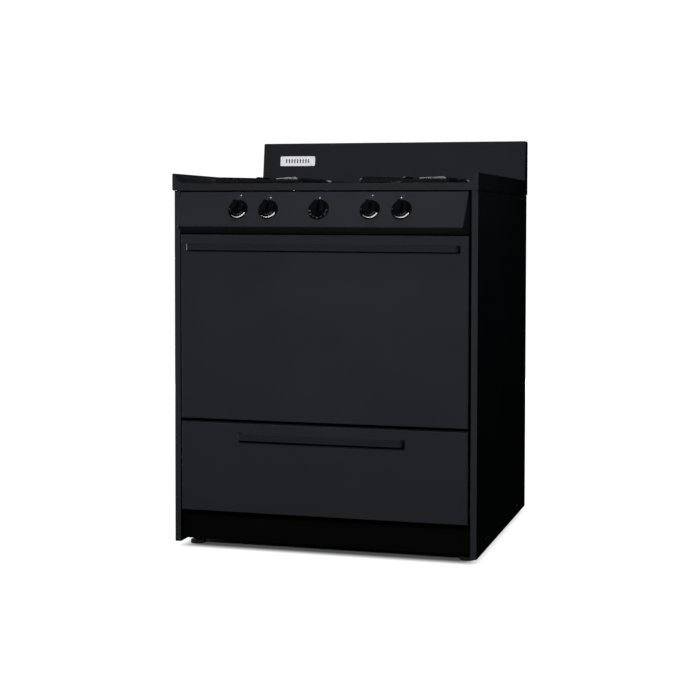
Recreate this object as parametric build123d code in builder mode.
"""Freestanding gas range with an oven, a broiler drawer and a lift-up cooktop.

Row frame: +X to the right, +Y to the rear, +Z up, origin on the floor under the middle of the
whole object. Every depth is stated from the front flange plane by the function depth().
"""
import os
from math import hypot

from build123d import *

os.makedirs("parts", exist_ok=True)

# ------------------------------------------------------------------ driving dimensions, mm
# Outer sizes
cooktop_width = 760
body_width = 756
body_depth = 640
body_base = 14
counter_height = 914
guard_height = 1021
sheet = 1.2
seam = 0.5
clear = 0.3
run_fit = 0.05

# Front face
flange_width = 15
front_width = 716
front_proud = 6
drawer_bottom = 94
drawer_top = 311
door_bottom = 319
door_top = 767
door_back = 26
frame_front = 30
frame_depth = 14
edge_radius = 3

# Control panel: a folded pan whose face leans back towards the top
panel_width = 718
panel_top = 870
panel_bottom = 786
panel_foot = 770
panel_top_reach = 8
panel_bottom_reach = 45
panel_end_inset = 7

# Knobs, stems and valves, along the normal of the panel's face
knob_height = 827
burner_knob_xs = (-202, -126, 126, 202)
knob_names = ("left_front", "left_rear", "right_rear", "right_front")
bezel_radius = 24.8
thermostat_bezel_radius = 25.8
bezel_thickness = 2.4
knob_back = 5.5
knob_collar = 13
knob_radius = 17
grip_front = 29
grip_half_width = 5.5
grip_half_height = 13
stem_radius = 3
stem_front = 17
stem_back = 27
push_travel = 3
valve_front = 7
valve_back = 40
valve_radius = 9
manifold_setback = 51
manifold_radius = 11

# Cooktop and burners
skirt_bottom = 873
lip_height = 890
deck_height = 884
deck_sheet = 1.6
rim_top_width = 9
rim_sweep = 26
cooktop_rear = 592
cooktop_hinge_depth = 586
cooktop_hinge_height = 898
cooktop_pin_radius = 2.5
burner_x = 185
burner_depths = (165, 430)
burner_hole_radius = 48
head_radius = 36
cap_radius = 33
head_base = 866
head_top = 888
tube_height = 826
tube_radius = 9
grate_size = 226
grate_bar = 7
grate_top = 907
finger_inner = 24

# Oven
cavity_half_width = 300
cavity_rear = 560
cavity_floor = 360
cavity_top = 744
mouth_half_width = 297
mouth_bottom = 362
mouth_top = 738
rack_heights = (460, 590)
ledge_width = 16
oven_burner_height = 328
insulation_depth = 40

# Broiler drawer
tray_half_width = 312
tray_bottom = 112
tray_top = 150
tray_rear = 520
pan_half_width = 205
pan_depths = (90, 410)
pan_bottom = 118
pan_rim = 160

# Door hinge
hinge_depth = 6
hinge_height = 327
hinge_x = 340
hinge_pin_radius = 4

# Handles
handle_tall = 16
handle_thick = 5
handle_standoff = 24
handle_bend = 6
handle_edge = 1.2
door_handle_half = 334
door_handle_height = 737
drawer_handle_half = 203
drawer_handle_height = 281

# Feet
foot_radius = 18.5
foot_x = 343
foot_depths = (60, 585)

# ------------------------------------------------------------------ derived places
panel_drop = panel_top - panel_bottom
panel_run = panel_bottom_reach - panel_top_reach
panel_slope = hypot(panel_drop, panel_run)
lean_sine = panel_run / panel_slope
lean_cosine = panel_drop / panel_slope
knob_face_reach = panel_top_reach + panel_run * (panel_top - knob_height) / panel_drop
front_reach = knob_face_reach + grip_front * lean_cosine + grip_half_height * lean_sine
front_y = (front_reach - body_depth) / 2
half_body = body_width / 2
half_cooktop = cooktop_width / 2
half_front = front_width / 2
half_panel = panel_width / 2
flange_inner = half_body - flange_width
knob_xs = burner_knob_xs + (0,)
knob_labels = knob_names + ("thermostat",)


def depth(distance):
    """Y of a plane that lies the given distance behind the front flanges."""
    return front_y + distance


def knob_plane(x, height):
    """Plane parallel to the panel's face, the given height out along its normal."""
    on_face = Plane((x, depth(-knob_face_reach), knob_height), x_dir=(1, 0, 0),
                    z_dir=(0, -lean_cosine, lean_sine))
    return on_face.offset(height)


def slab(low, high, mode=Mode.ADD):
    """Box between two corners, in the part that is being built."""
    middle = [(a + b) / 2 for a, b in zip(low, high)]
    size = [b - a for a, b in zip(low, high)]
    with Locations(tuple(middle)):
        Box(*size, mode=mode)


def pan(low, high, opening, wall=sheet):
    """Folded sheet pan: a box with one open side, named by its axis and sign."""
    slab(low, high)
    inner_low = [value + wall for value in low]
    inner_high = [value - wall for value in high]
    axis = "XYZ".index(opening[1])
    if opening[0] == "+":
        inner_high[axis] = high[axis]
    else:
        inner_low[axis] = low[axis]
    slab(inner_low, inner_high, mode=Mode.SUBTRACT)


def rod(start, end, radius, mode=Mode.ADD):
    """Round bar between two points, in the part that is being built."""
    along = Vector(*end) - Vector(*start)
    with BuildSketch(Plane(start, z_dir=along)) as section:
        Circle(radius)
    extrude(section.sketch, amount=along.length, mode=mode)


def disc(plane, radius, thickness, mode=Mode.ADD):
    """Round plate that stands on a plane, in the part that is being built."""
    with BuildSketch(plane) as section:
        Circle(radius)
    extrude(section.sketch, amount=thickness, mode=mode)


def save(builder, name):
    """Label a finished part and write it to its own STEP file."""
    builder.part.label = name
    export_step(builder.part, f"parts/{name}.step")


# ------------------------------------------------------------------ side panels
for name, side in (("left_side_panel", -1), ("right_side_panel", 1)):
    xs = sorted((side * flange_inner, side * half_body))
    with BuildPart() as side_panel:
        pan((xs[0], depth(0), body_base), (xs[1], depth(body_depth), skirt_bottom - clear),
            "+X" if side < 0 else "-X")
        outer = side_panel.edges().filter_by(Axis.Z).filter_by(
            lambda edge: abs(edge.center().X) > half_body - 0.1)
        fillet(outer, sheet)
    save(side_panel, name)

# ------------------------------------------------------------------ rear panel
rear_inset = 8
rear_half = half_body - 3
rear_bottom = 22
rear_face = body_depth - rear_inset + sheet
service_hole = (282, 368, 55, 165)
rib_xs = (-240, -80, 80, 240)
rib_half_width = 9
rib_raise = 3
rib_span = (200, 800)
with BuildPart() as rear_panel:
    slab((-rear_half, depth(body_depth - rear_inset), rear_bottom),
         (rear_half, depth(rear_face), skirt_bottom - 3))
    slab((service_hole[0], depth(rear_face - 2 * sheet), service_hole[2]),
         (service_hole[1], depth(rear_face + sheet), service_hole[3]), mode=Mode.SUBTRACT)
    for x in rib_xs:
        slab((x - rib_half_width, depth(body_depth - rear_inset), rib_span[0]),
             (x + rib_half_width, depth(body_depth - rear_inset + rib_raise), rib_span[1]))
save(rear_panel, "rear_panel")

# ------------------------------------------------------------------ base rails and kick panel
rail_height = 30
rail_base = body_base + sheet + clear
rail_width = 44
rail_wall = 2
rail_half = half_body - 2
side_rail_width = 25
side_rail_lift = 4
leg_boss_radius = 9
leg_radius = 5
foot_lines = [depth(value) for value in foot_depths]
with BuildPart() as base_rails:
    for line in foot_lines:
        pan((-rail_half, line - rail_width / 2, rail_base), (rail_half, line + rail_width / 2,
            rail_base + rail_height), "-Z", wall=rail_wall)
    for side in (-1, 1):
        xs = sorted((side * (rail_half - side_rail_width), side * rail_half))
        pan((xs[0], foot_lines[0] + rail_width / 2 + seam, body_base + side_rail_lift),
            (xs[1], foot_lines[1] - rail_width / 2 - seam, rail_base + rail_height),
            "-Z", wall=rail_wall)
        for line in foot_lines:
            rod((side * foot_x, line, rail_base), (side * foot_x, line, rail_base + rail_height),
                leg_boss_radius)
            rod((side * foot_x, line, rail_base - 1),
                (side * foot_x, line, rail_base + rail_height + 1), leg_radius,
                mode=Mode.SUBTRACT)
save(base_rails, "base_rails")

kick_front = 34
kick_rear = foot_depths[0] + rail_width / 2 + seam
kick_half = half_body - sheet - seam
kick_bottom = 16
kick_top = 90
with BuildPart() as kick_panel:
    slab((-kick_half, depth(kick_front), kick_bottom),
         (kick_half, depth(kick_front + sheet), kick_top))
    slab((-kick_half, depth(kick_front), kick_top - sheet),
         (kick_half, depth(kick_rear), kick_top))
save(kick_panel, "kick_panel")

# ------------------------------------------------------------------ levelling legs
leg_top = body_base + rail_height + 12
pad_height = 8
nut_radius = 8.5
nut_height = 5.5
with BuildPart() as leveling_legs:
    for side in (-1, 1):
        for line in foot_lines:
            rod((side * foot_x, line, 0), (side * foot_x, line, pad_height), foot_radius)
            rod((side * foot_x, line, pad_height), (side * foot_x, line, leg_top),
                leg_radius - run_fit)
            with BuildSketch(Plane((side * foot_x, line, pad_height))):
                RegularPolygon(nut_radius, 6)
            extrude(amount=nut_height)
    fillet(leveling_legs.edges().filter_by(GeomType.CIRCLE).group_by(Axis.Z)[1], 2)
save(leveling_legs, "leveling_legs")

# ------------------------------------------------------------------ oven front frame and gasket
frame_bottom = drawer_top + 7
with BuildPart() as front_frame:
    for side in (-1, 1):
        xs = sorted((side * (mouth_half_width + seam), side * flange_inner))
        pan((xs[0], depth(frame_front), frame_bottom),
            (xs[1], depth(frame_front + frame_depth), panel_foot), "+Y")
    for low, high in ((frame_bottom, mouth_bottom), (mouth_top, panel_foot)):
        pan((-mouth_half_width, depth(frame_front), low),
            (mouth_half_width, depth(frame_front + frame_depth), high), "+Y")
save(front_frame, "front_frame")

gasket_width = 9
gasket_margin = 2
gasket_corner = 14
gasket_low = mouth_bottom - gasket_margin - gasket_width
gasket_high = mouth_top + gasket_margin + gasket_width
with BuildPart() as door_gasket:
    with BuildSketch(Plane.XZ.offset(-depth(frame_front))):
        with Locations((0, (gasket_low + gasket_high) / 2)):
            RectangleRounded(2 * (mouth_half_width + gasket_margin + gasket_width),
                             gasket_high - gasket_low, gasket_corner)
            RectangleRounded(2 * (mouth_half_width + gasket_margin),
                             gasket_high - gasket_low - 2 * gasket_width,
                             gasket_corner - gasket_width, mode=Mode.SUBTRACT)
    extrude(amount=frame_front - door_back - clear)
save(door_gasket, "door_gasket")

# ------------------------------------------------------------------ oven liner, floor and insulation
liner_front = frame_front + frame_depth + seam
liner_bottom = drawer_top + 4
with BuildPart() as oven_liner:
    for side in (-1, 1):
        xs = sorted((side * cavity_half_width, side * (cavity_half_width + sheet)))
        slab((xs[0], depth(liner_front), liner_bottom), (xs[1], depth(cavity_rear), cavity_top))
    slab((-cavity_half_width + seam, depth(cavity_rear), liner_bottom),
         (cavity_half_width - seam, depth(cavity_rear + sheet), cavity_top))
    slab((-cavity_half_width - sheet, depth(liner_front), cavity_top + seam),
         (cavity_half_width + sheet, depth(cavity_rear + sheet), cavity_top + seam + sheet))
save(oven_liner, "oven_liner")

floor_gap = 3
slot_count = 9
slot_pitch = 44
slot_length = 26
slot_width = 8
slot_edge = 30
with BuildPart() as oven_bottom_panel:
    slab((-cavity_half_width + floor_gap, depth(liner_front + floor_gap), cavity_floor - sheet),
         (cavity_half_width - floor_gap, depth(cavity_rear - floor_gap), cavity_floor))
    slot_middle = depth((liner_front + cavity_rear) / 2)
    with BuildSketch(Plane.XY.offset(cavity_floor - sheet)):
        for side in (-1, 1):
            with Locations((side * (cavity_half_width - slot_edge), slot_middle)):
                with GridLocations(0, slot_pitch, 1, slot_count):
                    SlotOverall(slot_length, slot_width, rotation=90)
    extrude(amount=sheet, mode=Mode.SUBTRACT)
save(oven_bottom_panel, "oven_bottom_panel")

batt_front = liner_front + 4
batt_bottom = liner_bottom + 2
batt_gap = 3
batt_top = cavity_top + 34
with BuildPart() as oven_insulation:
    for side in (-1, 1):
        xs = sorted((side * (cavity_half_width + batt_gap),
                     side * (cavity_half_width + insulation_depth)))
        slab((xs[0], depth(batt_front), batt_bottom), (xs[1], depth(cavity_rear), cavity_top))
    slab((-cavity_half_width, depth(cavity_rear + batt_gap), batt_bottom),
         (cavity_half_width, depth(cavity_rear + insulation_depth), cavity_top))
    slab((-cavity_half_width, depth(batt_front), cavity_top + batt_gap),
         (cavity_half_width, depth(cavity_rear + insulation_depth), batt_top))
save(oven_insulation, "oven_insulation")

# ------------------------------------------------------------------ rack ledges and racks
ledge_heights = (420, 460, 500, 545, 590, 635)
ledge_thickness = 5
ledge_span = (70, 540)
with BuildPart() as rack_supports:
    for side in (-1, 1):
        xs = sorted((side * (cavity_half_width - ledge_width), side * cavity_half_width))
        for height in ledge_heights:
            slab((xs[0], depth(ledge_span[0]), height - ledge_thickness),
                 (xs[1], depth(ledge_span[1]), height))
save(rack_supports, "rack_supports")

rack_half = mouth_half_width - 4
rack_front = 60
rack_rear = 545
rack_frame_radius = 3
rack_wire_radius = 1.8
rack_wires = 15
rack_bars = 3
for name, ledge in zip(("oven_rack_lower", "oven_rack_upper"), rack_heights):
    wire_line = ledge + clear + rack_frame_radius
    corners = [(-rack_half, depth(rack_front), wire_line), (rack_half, depth(rack_front), wire_line),
               (rack_half, depth(rack_rear), wire_line), (-rack_half, depth(rack_rear), wire_line)]
    with BuildPart() as oven_rack:
        for start, end in zip(corners, corners[1:] + corners[:1]):
            rod(start, end, rack_frame_radius)
            with Locations(start):
                Sphere(rack_frame_radius)
        for index in range(rack_bars):
            y = depth(rack_front + (index + 1) * (rack_rear - rack_front) / (rack_bars + 1))
            rod((-rack_half, y, wire_line), (rack_half, y, wire_line), rack_wire_radius)
        for index in range(rack_wires):
            x = -rack_half + (index + 1) * 2 * rack_half / (rack_wires + 1)
            rod((x, depth(rack_front), wire_line + rack_wire_radius),
                (x, depth(rack_rear), wire_line + rack_wire_radius), rack_wire_radius)
    save(oven_rack, name)

# ------------------------------------------------------------------ oven burner, spreader, sensor
burner_span = (90, 500)
burner_arm_x = 70
burner_arm_radius = 12
burner_neck_radius = 11
with BuildPart() as oven_burner:
    for x in (-burner_arm_x, burner_arm_x):
        rod((x, depth(burner_span[0]), oven_burner_height), (x, depth(burner_span[1]),
            oven_burner_height), burner_arm_radius)
    rod((-burner_arm_x, depth(burner_span[1]), oven_burner_height),
        (burner_arm_x, depth(burner_span[1]), oven_burner_height), burner_arm_radius)
    rod((0, depth(burner_span[1]), oven_burner_height),
        (0, depth(cavity_rear - 4), oven_burner_height), burner_neck_radius)
save(oven_burner, "oven_burner")

spreader_half = 150
spreader_low = 345
spreader_fall = 6
spreader_slope = 40
spreader_sheet = 1.5
spreader_margin = 20
with BuildPart() as flame_spreader:
    with BuildSketch(Plane.XZ.offset(-depth(burner_span[0] - spreader_margin))):
        with BuildLine() as spreader_line:
            Polyline((-spreader_half, spreader_low),
                     (-spreader_half + spreader_slope, spreader_low + spreader_fall),
                     (spreader_half - spreader_slope, spreader_low + spreader_fall),
                     (spreader_half, spreader_low))
            offset(amount=spreader_sheet, side=Side.LEFT)
        make_face()
    extrude(amount=-(burner_span[1] - burner_span[0] + 2 * spreader_margin))
save(flame_spreader, "flame_spreader")

bulb_line = 705
bulb_half = 150
bulb_setback = 14
bulb_radius = 4
clip_inset = 25
clip_reach = 6
with BuildPart() as thermostat_bulb:
    rod((-bulb_half, depth(cavity_rear - bulb_setback), bulb_line),
        (bulb_half, depth(cavity_rear - bulb_setback), bulb_line), bulb_radius)
    for x in (-bulb_half + clip_inset, bulb_half - clip_inset):
        slab((x - bulb_radius, depth(cavity_rear - bulb_setback - bulb_radius - 1),
              bulb_line - clip_reach),
             (x + bulb_radius, depth(cavity_rear), bulb_line + clip_reach))
save(thermostat_bulb, "thermostat_bulb")

electrode_offset = 41
electrode_radius = 3
electrode_drop = 16
bracket_drop = 10
bracket_start = 28
glow_xs = (95, 110)
glow_span = (300, 350)
glow_half_height = 8
glow_line = sum(glow_xs) / 2
with BuildPart() as igniters:
    slab((glow_xs[0], depth(glow_span[0]), oven_burner_height - glow_half_height),
         (glow_xs[1], depth(glow_span[1]), oven_burner_height + glow_half_height))
    rod((glow_line, depth(glow_span[1]), oven_burner_height),
        (glow_line, depth(cavity_rear - 2), oven_burner_height), electrode_radius)
    for side in (-1, 1):
        for y in burner_depths:
            x = side * burner_x
            line = depth(y + electrode_offset)
            rod((x, line, head_base - electrode_drop), (x, line, head_top + 2),
                electrode_radius)
            slab((x - electrode_radius - 2, depth(y + bracket_start), head_base - bracket_drop),
                 (x + electrode_radius + 2, line, head_base - bracket_drop + 2))
save(igniters, "igniters")

# ------------------------------------------------------------------ burner box, manifold, valves
box_floor = 787
box_wall = 13
box_margin = 22
box_span = (56, 602)
with BuildPart() as burner_box_floor:
    pan((-half_body + box_margin, depth(box_span[0]), box_floor),
        (half_body - box_margin, depth(box_span[1]), box_floor + box_wall), "+Z")
save(burner_box_floor, "burner_box_floor")


def behind_face(x, distance):
    """Point on a knob's axis, the given distance behind the panel's face."""
    return (x, depth(-knob_face_reach + distance * lean_cosine),
            knob_height - distance * lean_sine)


manifold_line = behind_face(0, manifold_setback)
manifold_end = -250
supply_x = 330
supply_depth = 615
supply_radius = 9
regulator_top = 118
with BuildPart() as gas_manifold:
    bends = [(supply_x, *manifold_line[1:]), (supply_x, manifold_line[1], tube_height),
             (supply_x, depth(supply_depth), tube_height)]
    rod((manifold_end, *manifold_line[1:]), bends[0], manifold_radius)
    with Locations(bends[0]):
        Sphere(manifold_radius)
    rod(bends[0], bends[1], supply_radius)
    rod(bends[1], bends[2], supply_radius)
    for corner in bends[1:]:
        with Locations(corner):
            Sphere(supply_radius)
    rod(bends[2], (supply_x, depth(supply_depth), regulator_top), supply_radius)
save(gas_manifold, "gas_manifold")

spud_depth = 44
spud_radius = 4
with BuildPart() as burner_valves:
    for x in burner_knob_xs:
        disc(knob_plane(x, -valve_back), valve_radius, valve_back - valve_front)
        rod(behind_face(x, valve_back / 2), (x, depth(spud_depth), tube_height), spud_radius)
        disc(knob_plane(x, -stem_back - push_travel - 1), stem_radius + run_fit,
             stem_back + push_travel, mode=Mode.SUBTRACT)
save(burner_valves, "burner_valves")

thermostat_size = (48, 44)
neck_length = 4
with BuildPart() as oven_thermostat:
    with BuildSketch(knob_plane(0, -valve_back)):
        Rectangle(*thermostat_size)
    extrude(amount=valve_back - valve_front - neck_length)
    disc(knob_plane(0, -valve_front - neck_length), valve_radius, neck_length)
    disc(knob_plane(0, -stem_back - push_travel - 1), stem_radius + run_fit,
         stem_back + push_travel, mode=Mode.SUBTRACT)
save(oven_thermostat, "oven_thermostat")

regulator_radius = 34
regulator_span = (74, 108)
regulator_y = depth(supply_depth - 20)
collar_radius = 13
inlet_radius = 9.3
inlet_length = 16
inlet_height = 92
inlet_boss_radius = 14
inlet_mouth = depth(634)
with BuildPart() as gas_regulator:
    rod((supply_x, regulator_y, regulator_span[0]), (supply_x, regulator_y, regulator_span[1]),
        regulator_radius)
    rod((supply_x, depth(supply_depth), regulator_span[1] - 8),
        (supply_x, depth(supply_depth), regulator_top), collar_radius)
    fillet(gas_regulator.edges().filter_by(GeomType.CIRCLE).group_by(Axis.Z)[0], 4)
    rod((supply_x, regulator_y, inlet_height), (supply_x, inlet_mouth, inlet_height),
        inlet_boss_radius)
    rod((supply_x, inlet_mouth - inlet_length, inlet_height),
        (supply_x, inlet_mouth, inlet_height), inlet_radius, mode=Mode.SUBTRACT)
save(gas_regulator, "gas_regulator")

# ------------------------------------------------------------------ top burners
valve_for_burner = ((-202, -burner_x, burner_depths[0]), (-126, -burner_x, burner_depths[1]),
                    (126, burner_x, burner_depths[1]), (202, burner_x, burner_depths[0]))
funnel_drop = 14
funnel_radius = 13
port_count = 24
port_size = (7, 2)
port_height = 6
with BuildPart() as top_burners:
    for valve_x, head_x, head_depth in valve_for_burner:
        bend = (head_x, depth(head_depth), tube_height)
        rod((valve_x, depth(spud_depth + 2), tube_height), bend, tube_radius)
        with Locations(bend):
            Sphere(tube_radius)
        rod(bend, (head_x, depth(head_depth), head_base), tube_radius)
        disc(Plane((head_x, depth(head_depth), head_base)), head_radius, head_top - head_base)
        with BuildSketch(Plane((head_x, depth(head_depth), head_base - funnel_drop))):
            Circle(funnel_radius)
        with BuildSketch(Plane((head_x, depth(head_depth), head_base))):
            Circle(head_radius)
        loft()
        with BuildSketch(Plane((head_x, depth(head_depth), head_top - port_height))):
            with PolarLocations(head_radius, port_count):
                Rectangle(*port_size)
        extrude(amount=port_height, mode=Mode.SUBTRACT)
save(top_burners, "top_burners")

cap_height = 7
with BuildPart() as burner_caps:
    for _, head_x, head_depth in valve_for_burner:
        disc(Plane((head_x, depth(head_depth), head_top)), cap_radius, cap_height)
    fillet(burner_caps.edges().filter_by(GeomType.CIRCLE).group_by(Axis.Z)[-1], 4)
save(burner_caps, "burner_caps")

# ------------------------------------------------------------------ control panel
stem_hole_radius = 5
panel_rear = 2
past_open = 6


def folded_block(outline, half_width, end_inset, radius, inset):
    """Block with the outside shape of a folded shell, or with its inside when inset is a wall.

    The outline is a list of depths and heights that starts and ends at the open rear. The inside
    block runs past that rear. The ends lean in by end_inset at the outline's front.
    """
    rear = outline[0][0]
    front = min(point[0] for point in outline)
    beyond = rear + past_open * bool(inset)
    points = [(beyond, outline[0][1]), *outline[1:-1], (beyond, outline[-1][1])]
    half = half_width - inset
    with BuildPart() as block:
        with BuildSketch(Plane.YZ.offset(-half)):
            with BuildLine():
                Polyline(*[(depth(y), z) for y, z in points], close=True)
            make_face()
            if inset:
                offset(amount=-inset, kind=Kind.INTERSECTION)
        extrude(amount=2 * half)
        if end_inset:
            with BuildSketch(Plane.XY.offset(skirt_bottom - 2 * panel_width)):
                for side in (-1, 1):
                    with BuildLine():
                        Polyline((side * half, depth(rear)), (side * half, depth(front)),
                                 (side * (half - end_inset), depth(front)), close=True)
                    make_face()
            extrude(amount=4 * panel_width, mode=Mode.SUBTRACT)
        fillet(block.edges().filter_by(lambda edge: edge.center().Y < depth(rear - 0.5)),
               radius - inset)
    return block.part


panel_outline = ((panel_rear, panel_foot), (-panel_bottom_reach, panel_bottom),
                 (-panel_top_reach, panel_top), (panel_rear, panel_top))
with BuildPart() as control_panel:
    add(folded_block(panel_outline, half_panel, panel_end_inset, edge_radius, 0))
    add(folded_block(panel_outline, half_panel, panel_end_inset, edge_radius, sheet),
        mode=Mode.SUBTRACT)
    for x in knob_xs:
        disc(knob_plane(x, -6), stem_hole_radius, 8, mode=Mode.SUBTRACT)
save(control_panel, "control_panel")

with BuildPart() as knob_bezels:
    for x in knob_xs:
        radius = bezel_radius if x else thermostat_bezel_radius
        with BuildSketch(knob_plane(x, 0)):
            Circle(radius)
            Circle(stem_hole_radius, mode=Mode.SUBTRACT)
        extrude(amount=bezel_thickness, taper=20)
        disc(knob_plane(x, bezel_thickness - 0.8), knob_radius + 1.2, 2, mode=Mode.SUBTRACT)
        disc(knob_plane(x, 0), knob_radius + 1.2, bezel_thickness - 0.8)
        disc(knob_plane(x, 0), stem_hole_radius, bezel_thickness, mode=Mode.SUBTRACT)
save(knob_bezels, "knob_bezels")

# ------------------------------------------------------------------ stems and knobs
for x, label in zip(knob_xs, knob_labels):
    with BuildPart() as valve_stem:
        disc(knob_plane(x, -stem_back), stem_radius, stem_back + stem_front)
    save(valve_stem, f"valve_stem_{label}")
    with BuildPart() as knob:
        disc(knob_plane(x, knob_back), knob_radius, knob_collar - knob_back)
        chamfer(knob.edges().filter_by(GeomType.CIRCLE).sort_by(Axis.Y)[0], 1.5)
        with BuildSketch(knob_plane(x, knob_back + 2)):
            SlotCenterToCenter(2 * (grip_half_height - 2), 2 * grip_half_width + 2, rotation=90)
        with BuildSketch(knob_plane(x, grip_front)):
            RectangleRounded(2 * grip_half_width - 2, 2 * grip_half_height, 2)
        loft()
        disc(knob_plane(x, knob_back), stem_radius + run_fit, stem_front - knob_back + clear,
             mode=Mode.SUBTRACT)
    save(knob, f"knob_{label}")

# ------------------------------------------------------------------ cooktop
def deck_line(deck):
    """Rim, sweep, deck, sweep and rim of the pressed cooktop, at one deck height."""
    shoulder = half_cooktop - rim_top_width
    sweep = min(rim_sweep, counter_height - deck - 2.6)
    return FilletPolyline(
        (-half_cooktop, skirt_bottom), (-half_cooktop, counter_height),
        (-shoulder, counter_height), (-shoulder, deck), (shoulder, deck),
        (shoulder, counter_height), (half_cooktop, counter_height), (half_cooktop, skirt_bottom),
        radius=[3, 2.5, sweep, sweep, 2.5, 3])


lip_plane = Plane.XZ.offset(-depth(-panel_top_reach))
bead_depth = 12
front_wall = 2.4
inside_wall = half_cooktop - deck_sheet
hinge_line = (depth(cooktop_hinge_depth), cooktop_hinge_height)
boss_radius = 5.5
boss_end = inside_wall - 3
ring_width = 5
ring_depth = 6
ring_height = 3
with BuildPart() as cooktop:
    with BuildSketch(lip_plane):
        with BuildLine():
            deck_line(deck_height)
            offset(amount=deck_sheet, side=Side.RIGHT)
        make_face()
    extrude(amount=-(cooktop_rear + panel_top_reach))
    with BuildSketch(lip_plane) as lip_face:
        with BuildLine():
            deck_line(lip_height)
            Line((half_cooktop, skirt_bottom), (-half_cooktop, skirt_bottom))
        make_face()
    extrude(amount=-front_wall)
    with BuildSketch(lip_plane):
        with BuildLine():
            deck_line(lip_height)
            Line((half_cooktop, skirt_bottom), (-half_cooktop, skirt_bottom))
        make_face()
        with Locations((0, (skirt_bottom + deck_height) / 2 - deck_sheet)):
            Rectangle(cooktop_width, deck_height - skirt_bottom, mode=Mode.SUBTRACT)
    extrude(amount=-bead_depth)
    slab((-half_cooktop + deck_sheet, depth(cooktop_rear - 2), skirt_bottom),
         (half_cooktop - deck_sheet, depth(cooktop_rear), cooktop_hinge_height))
    slab((-half_cooktop + rim_top_width, depth(cooktop_hinge_depth - 6), deck_height - 1),
         (half_cooktop - rim_top_width, depth(cooktop_rear), cooktop_hinge_height - 4))
    for side in (-1, 1):
        corner = sorted((side * (flange_inner - 1), side * inside_wall))
        slab((corner[0], depth(cooktop_rear - 3), skirt_bottom - 1),
             (corner[1], depth(cooktop_rear + 1), cooktop_hinge_height + 1), mode=Mode.SUBTRACT)
        rod((side * boss_end, *hinge_line), (side * inside_wall, *hinge_line), boss_radius)
        rod((side * (boss_end - 1), *hinge_line), (side * inside_wall, *hinge_line),
            cooktop_pin_radius + run_fit, mode=Mode.SUBTRACT)
        for y in burner_depths:
            centre = Plane((side * burner_x, depth(y), deck_height - ring_depth))
            disc(centre.offset(ring_depth - 1), burner_hole_radius + ring_width, ring_height)
            disc(centre, burner_hole_radius, 2 * ring_depth, mode=Mode.SUBTRACT)
save(cooktop, "cooktop")

lug_outer = half_cooktop - 5.6
lug_sheet = 1.6
lug_span = (-6, 2)
side_top = skirt_bottom - clear
with BuildPart() as cooktop_hinge_brackets:
    for side in (-1, 1):
        lug = sorted((side * (lug_outer - lug_sheet), side * lug_outer))
        foot = sorted((side * (flange_inner + 1), side * lug_outer))
        slab((lug[0], depth(cooktop_hinge_depth + lug_span[0]), side_top),
             (lug[1], depth(cooktop_hinge_depth + lug_span[1]), cooktop_hinge_height + 5))
        slab((foot[0], depth(cooktop_hinge_depth + lug_span[0]), side_top),
             (foot[1], depth(cooktop_hinge_depth + lug_span[1]), side_top + lug_sheet))
        rod((side * (lug_outer - 1), *hinge_line), (side * (inside_wall - clear), *hinge_line),
            cooktop_pin_radius)
save(cooktop_hinge_brackets, "cooktop_hinge_brackets")

# ------------------------------------------------------------------ grates
grate_labels = {(-1, 0): "left_front", (-1, 1): "left_rear", (1, 0): "right_front",
                (1, 1): "right_rear"}
frame_top = grate_top - 6
finger_outer = grate_size / 2 - 2
finger_half = grate_bar / 2
for (side, row), label in grate_labels.items():
    middle = (side * burner_x, depth(burner_depths[row]))
    with BuildPart() as grate:
        with BuildSketch(Plane((*middle, frame_top - grate_bar))):
            RectangleRounded(grate_size, grate_size, 16)
            RectangleRounded(grate_size - 2 * grate_bar, grate_size - 2 * grate_bar, 10,
                             mode=Mode.SUBTRACT)
        extrude(amount=grate_bar)
        for u, v in ((-1, -1), (1, -1), (1, 1), (-1, 1)):
            corner = (middle[0] + u * (grate_size / 2 - 8), middle[1] + v * (grate_size / 2 - 8))
            rod((*corner, deck_height + clear), (*corner, frame_top - 1), 5)
        for angle in range(0, 360, 45):
            reach = finger_outer if angle % 90 == 0 else finger_outer * 2 ** 0.5 - 7
            outward = Vector(1, 0, 0).rotate(Axis.Z, angle)
            upright = Plane((*middle, 0), x_dir=outward, z_dir=outward.cross(Vector(0, 0, 1)))
            with BuildSketch(upright) as finger:
                with BuildLine():
                    Polyline((finger_inner, grate_top - grate_bar), (finger_inner + 3, grate_top),
                             (reach - 10, grate_top), (reach, grate_top - 4),
                             (reach, frame_top - grate_bar + 1), (reach - 10,
                             frame_top - grate_bar + 1), close=True)
                make_face()
            extrude(finger.sketch, amount=finger_half, both=True)
    save(grate, f"grate_{label}")

# ------------------------------------------------------------------ backguard and badge
guard_front = 596
guard_lean = 18
guard_radius = 4
cover_margin = 3
cover_front = body_depth - 5
flue_half = 60
flue_front = 607
flue_span = (650, 930)
vent_count = 9
vent_pitch = 36
vent_drop = 45
guard_outline = ((body_depth, skirt_bottom), (guard_front, skirt_bottom),
                 (guard_front + guard_lean, guard_height), (body_depth, guard_height))
with BuildPart() as backguard:
    add(folded_block(guard_outline, half_cooktop, 0, guard_radius, 0))
    add(folded_block(guard_outline, half_cooktop, 0, guard_radius, sheet), mode=Mode.SUBTRACT)
    slab((-flue_half - 2, depth(flue_front - 5), skirt_bottom - 1),
         (flue_half + 2, depth(body_depth), skirt_bottom + 3), mode=Mode.SUBTRACT)
save(backguard, "backguard")

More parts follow.
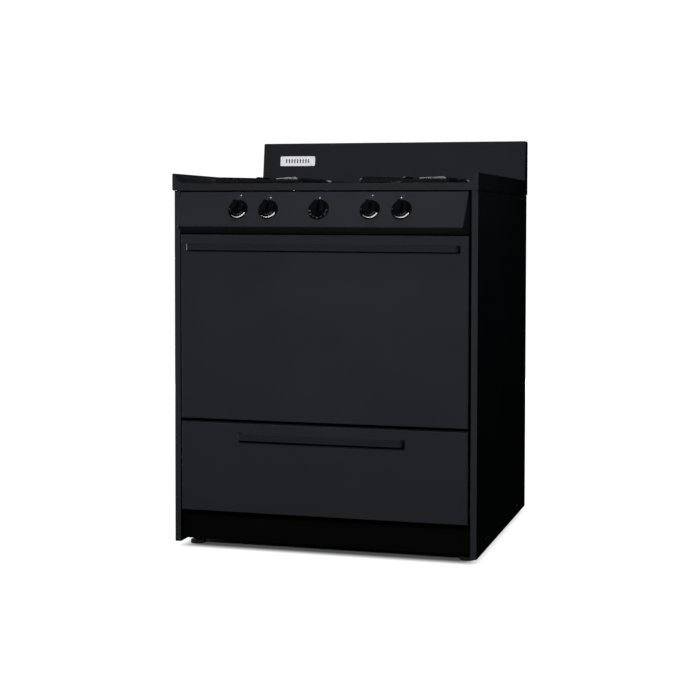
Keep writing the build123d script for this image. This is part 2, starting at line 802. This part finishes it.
with BuildPart() as backguard_rear_cover:
    slab((-half_cooktop + cover_margin, depth(cover_front), skirt_bottom + cover_margin),
         (half_cooktop - cover_margin, depth(cover_front + sheet),
          guard_height - cover_margin))
    with BuildSketch(Plane.XZ.offset(-depth(cover_front - 1))):
        with Locations((0, guard_height - vent_drop)):
            with GridLocations(vent_pitch, 0, vent_count, 1):
                SlotOverall(26, 7)
    extrude(amount=-4, mode=Mode.SUBTRACT)
save(backguard_rear_cover, "backguard_rear_cover")

badge_centre = (-275.5, 970)
badge_size = (103, 28)
badge_thickness = 2.5
guard_lean_line = Vector(0, guard_lean, guard_height - skirt_bottom).normalized()
badge_depth = guard_front + guard_lean * (badge_centre[1] - skirt_bottom) / (
    guard_height - skirt_bottom)
badge_plane = Plane((badge_centre[0], depth(badge_depth), badge_centre[1]), x_dir=(1, 0, 0),
                    z_dir=(0, -guard_lean_line.Z, guard_lean_line.Y))
with BuildPart() as badge_plate:
    with BuildSketch(badge_plane):
        RectangleRounded(*badge_size, 3)
    extrude(amount=badge_thickness)
    fillet(badge_plate.edges().sort_by(Axis.Y)[0], 0.8)
save(badge_plate, "badge_plate")

with BuildPart() as flue_duct:
    pan((-flue_half, depth(flue_front), flue_span[0]),
        (flue_half, depth(body_depth - rear_inset - seam), flue_span[1]), "+Z")
save(flue_duct, "flue_duct")

# ------------------------------------------------------------------ oven door
pocket_inner = 331
pocket_outer = 352
with BuildPart() as door_outer_panel:
    pan((-half_front, depth(-front_proud), door_bottom), (half_front, depth(door_back), door_top),
        "+Y")
    fillet(door_outer_panel.edges().filter_by(
        lambda edge: edge.center().Y < depth(-front_proud) + 0.1), edge_radius)
    for side in (-1, 1):
        xs = sorted((side * pocket_inner, side * pocket_outer))
        slab((xs[0], depth(-front_proud + 4), door_bottom - 1),
             (xs[1], depth(door_back + 1), door_bottom + 4), mode=Mode.SUBTRACT)
save(door_outer_panel, "door_outer_panel")

plug_margin = 13
with BuildPart() as door_inner_panel:
    slab((-pocket_inner + 2, depth(door_back - sheet), door_bottom + 14),
         (pocket_inner - 2, depth(door_back), door_top - 3))
    slab((-mouth_half_width + plug_margin, depth(door_back - sheet), mouth_bottom + plug_margin),
         (mouth_half_width - plug_margin, depth(door_back + 14), mouth_top - plug_margin))
    plug_edges = door_inner_panel.edges().filter_by(Axis.Y).filter_by(
        lambda edge: edge.length > 10)
    fillet(plug_edges, 18)
    slab((-mouth_half_width + plug_margin + 2, depth(door_back - 2 * sheet),
          mouth_bottom + plug_margin + 2), (mouth_half_width - plug_margin - 2,
         depth(door_back + 14 - sheet), mouth_top - plug_margin - 2), mode=Mode.SUBTRACT)
save(door_inner_panel, "door_inner_panel")

with BuildPart() as door_insulation:
    slab((-pocket_inner + 4, depth(-front_proud + sheet + 1), door_bottom + 16),
         (pocket_inner - 4, depth(door_back - sheet - 1), door_top - 6))
save(door_insulation, "door_insulation")

arm_half = 2
barrel_half = 5
barrel_radius = 7
arm_top = 450
with BuildPart() as door_hinge_arms:
    for side in (-1, 1):
        x = side * hinge_x
        slab((x - arm_half, depth(-front_proud + sheet + seam), hinge_height - 5),
             (x + arm_half, depth(14), arm_top))
        rod((x - barrel_half, depth(hinge_depth), hinge_height),
            (x + barrel_half, depth(hinge_depth), hinge_height), barrel_radius)
        rod((x - barrel_half - 1, depth(hinge_depth), hinge_height),
            (x + barrel_half + 1, depth(hinge_depth), hinge_height),
            hinge_pin_radius + run_fit, mode=Mode.SUBTRACT)
save(door_hinge_arms, "door_hinge_arms")

with BuildPart() as hinge_receivers:
    for side in (-1, 1):
        plate_xs = sorted((side * (hinge_x + barrel_half + 1), side * (hinge_x + barrel_half + 4)))
        slab((plate_xs[0], depth(hinge_depth - 5), hinge_height - 5),
             (plate_xs[1], depth(frame_front), hinge_height + 6))
        flange_xs = sorted((side * (hinge_x - 4), side * (hinge_x + barrel_half + 4)))
        slab((flange_xs[0], depth(frame_front - 2), hinge_height - 5),
             (flange_xs[1], depth(frame_front), hinge_height + 30))
        rod((side * (hinge_x - barrel_half - 1), depth(hinge_depth), hinge_height),
            (side * (hinge_x + barrel_half + 4), depth(hinge_depth), hinge_height),
            hinge_pin_radius)
save(hinge_receivers, "hinge_receivers")


# ------------------------------------------------------------------ handles
def bar_handle(half_length, height):
    """Bar that stands off a front panel, with its two ends bent back to the panel."""
    outer = depth(-front_proud - handle_standoff + handle_thick / 2)
    foot = depth(-front_proud - 0.02)
    with BuildLine(Plane.XY.offset(height)) as route:
        FilletPolyline((-half_length, foot), (-half_length, outer), (half_length, outer),
                       (half_length, foot), radius=handle_bend)
    with BuildSketch(Plane((-half_length, foot, height), x_dir=(1, 0, 0),
                           z_dir=(0, -1, 0))) as section:
        RectangleRounded(handle_thick, handle_tall, handle_edge)
    sweep(sections=section.sketch, path=route.wires()[0], transition=Transition.ROUND)


for name, half_length, height in (("door_handle", door_handle_half, door_handle_height),
                                  ("drawer_handle", drawer_handle_half, drawer_handle_height)):
    with BuildPart() as handle:
        bar_handle(half_length, height)
    save(handle, name)

# ------------------------------------------------------------------ broiler drawer
with BuildPart() as drawer_front:
    pan((-half_front, depth(-front_proud), drawer_bottom), (half_front, depth(16), drawer_top),
        "+Y")
    fillet(drawer_front.edges().filter_by(
        lambda edge: edge.center().Y < depth(-front_proud) + 0.1), edge_radius)
save(drawer_front, "drawer_front")

with BuildPart() as drawer_tray:
    pan((-tray_half_width, depth(16 + seam), tray_bottom),
        (tray_half_width, depth(tray_rear), tray_top), "+Z")
save(drawer_tray, "drawer_tray")

track_inner = tray_half_width + 1
with BuildPart() as drawer_tracks:
    for side in (-1, 1):
        xs = sorted((side * track_inner, side * (track_inner + 2)))
        slab((xs[0], depth(34), tray_bottom + 8), (xs[1], depth(tray_rear + 40), tray_top + 6))
        base_xs = sorted((side * track_inner, side * (rail_half - 4)))
        slab((base_xs[0], depth(34 + 8), tray_bottom + 8),
             (base_xs[1], depth(tray_rear + 40), tray_bottom + 10))
save(drawer_tracks, "drawer_tracks")

with BuildPart() as broiler_pan:
    with BuildSketch(Plane.XY.offset(pan_bottom)):
        with Locations((0, depth(sum(pan_depths) / 2))):
            RectangleRounded(2 * pan_half_width, pan_depths[1] - pan_depths[0], 12)
    extrude(amount=pan_rim - pan_bottom)
    offset(amount=-1.5, openings=broiler_pan.faces().sort_by(Axis.Z)[-1])
save(broiler_pan, "broiler_pan")

grid_slots = 11
with BuildPart() as broiler_grid:
    slab((-pan_half_width, depth(pan_depths[0]), pan_rim + 0.02),
         (pan_half_width, depth(pan_depths[1]), pan_rim + 2))
    fillet(broiler_grid.edges().filter_by(Axis.Z), 12)
    with BuildSketch(Plane.XY.offset(pan_rim)):
        with Locations((0, depth(sum(pan_depths) / 2))):
            with GridLocations(34, 0, grid_slots, 1):
                SlotOverall(250, 6, rotation=90)
    extrude(amount=3, mode=Mode.SUBTRACT)
save(broiler_grid, "broiler_grid")

# ------------------------------------------------------------------ fasteners
screw_radius = 4
screw_head = 2.2
side_screw_radius = 3.5
side_screw_head = 1.6
side_screw_height = 38
side_screw_depths = (108, 132, 500, 524)
rear_screw_heights = (40, 240, 440, 640, 850)
cover_screw_xs = (-300, -150, 0, 150, 300)
with BuildPart() as body_screws:
    for side in (-1, 1):
        for z in rear_screw_heights:
            disc(Plane((side * (rear_half - 12), depth(rear_face), z), z_dir=(0, 1, 0)),
                 screw_radius, screw_head)
        for y in side_screw_depths:
            disc(Plane((side * half_body, depth(y), side_screw_height), z_dir=(side, 0, 0)),
                 side_screw_radius, side_screw_head)
    for x in cover_screw_xs:
        for z in (skirt_bottom + 14, guard_height - 12):
            disc(Plane((x, depth(cover_front + sheet), z), z_dir=(0, 1, 0)), screw_radius,
                 screw_head)
save(body_screws, "body_screws")
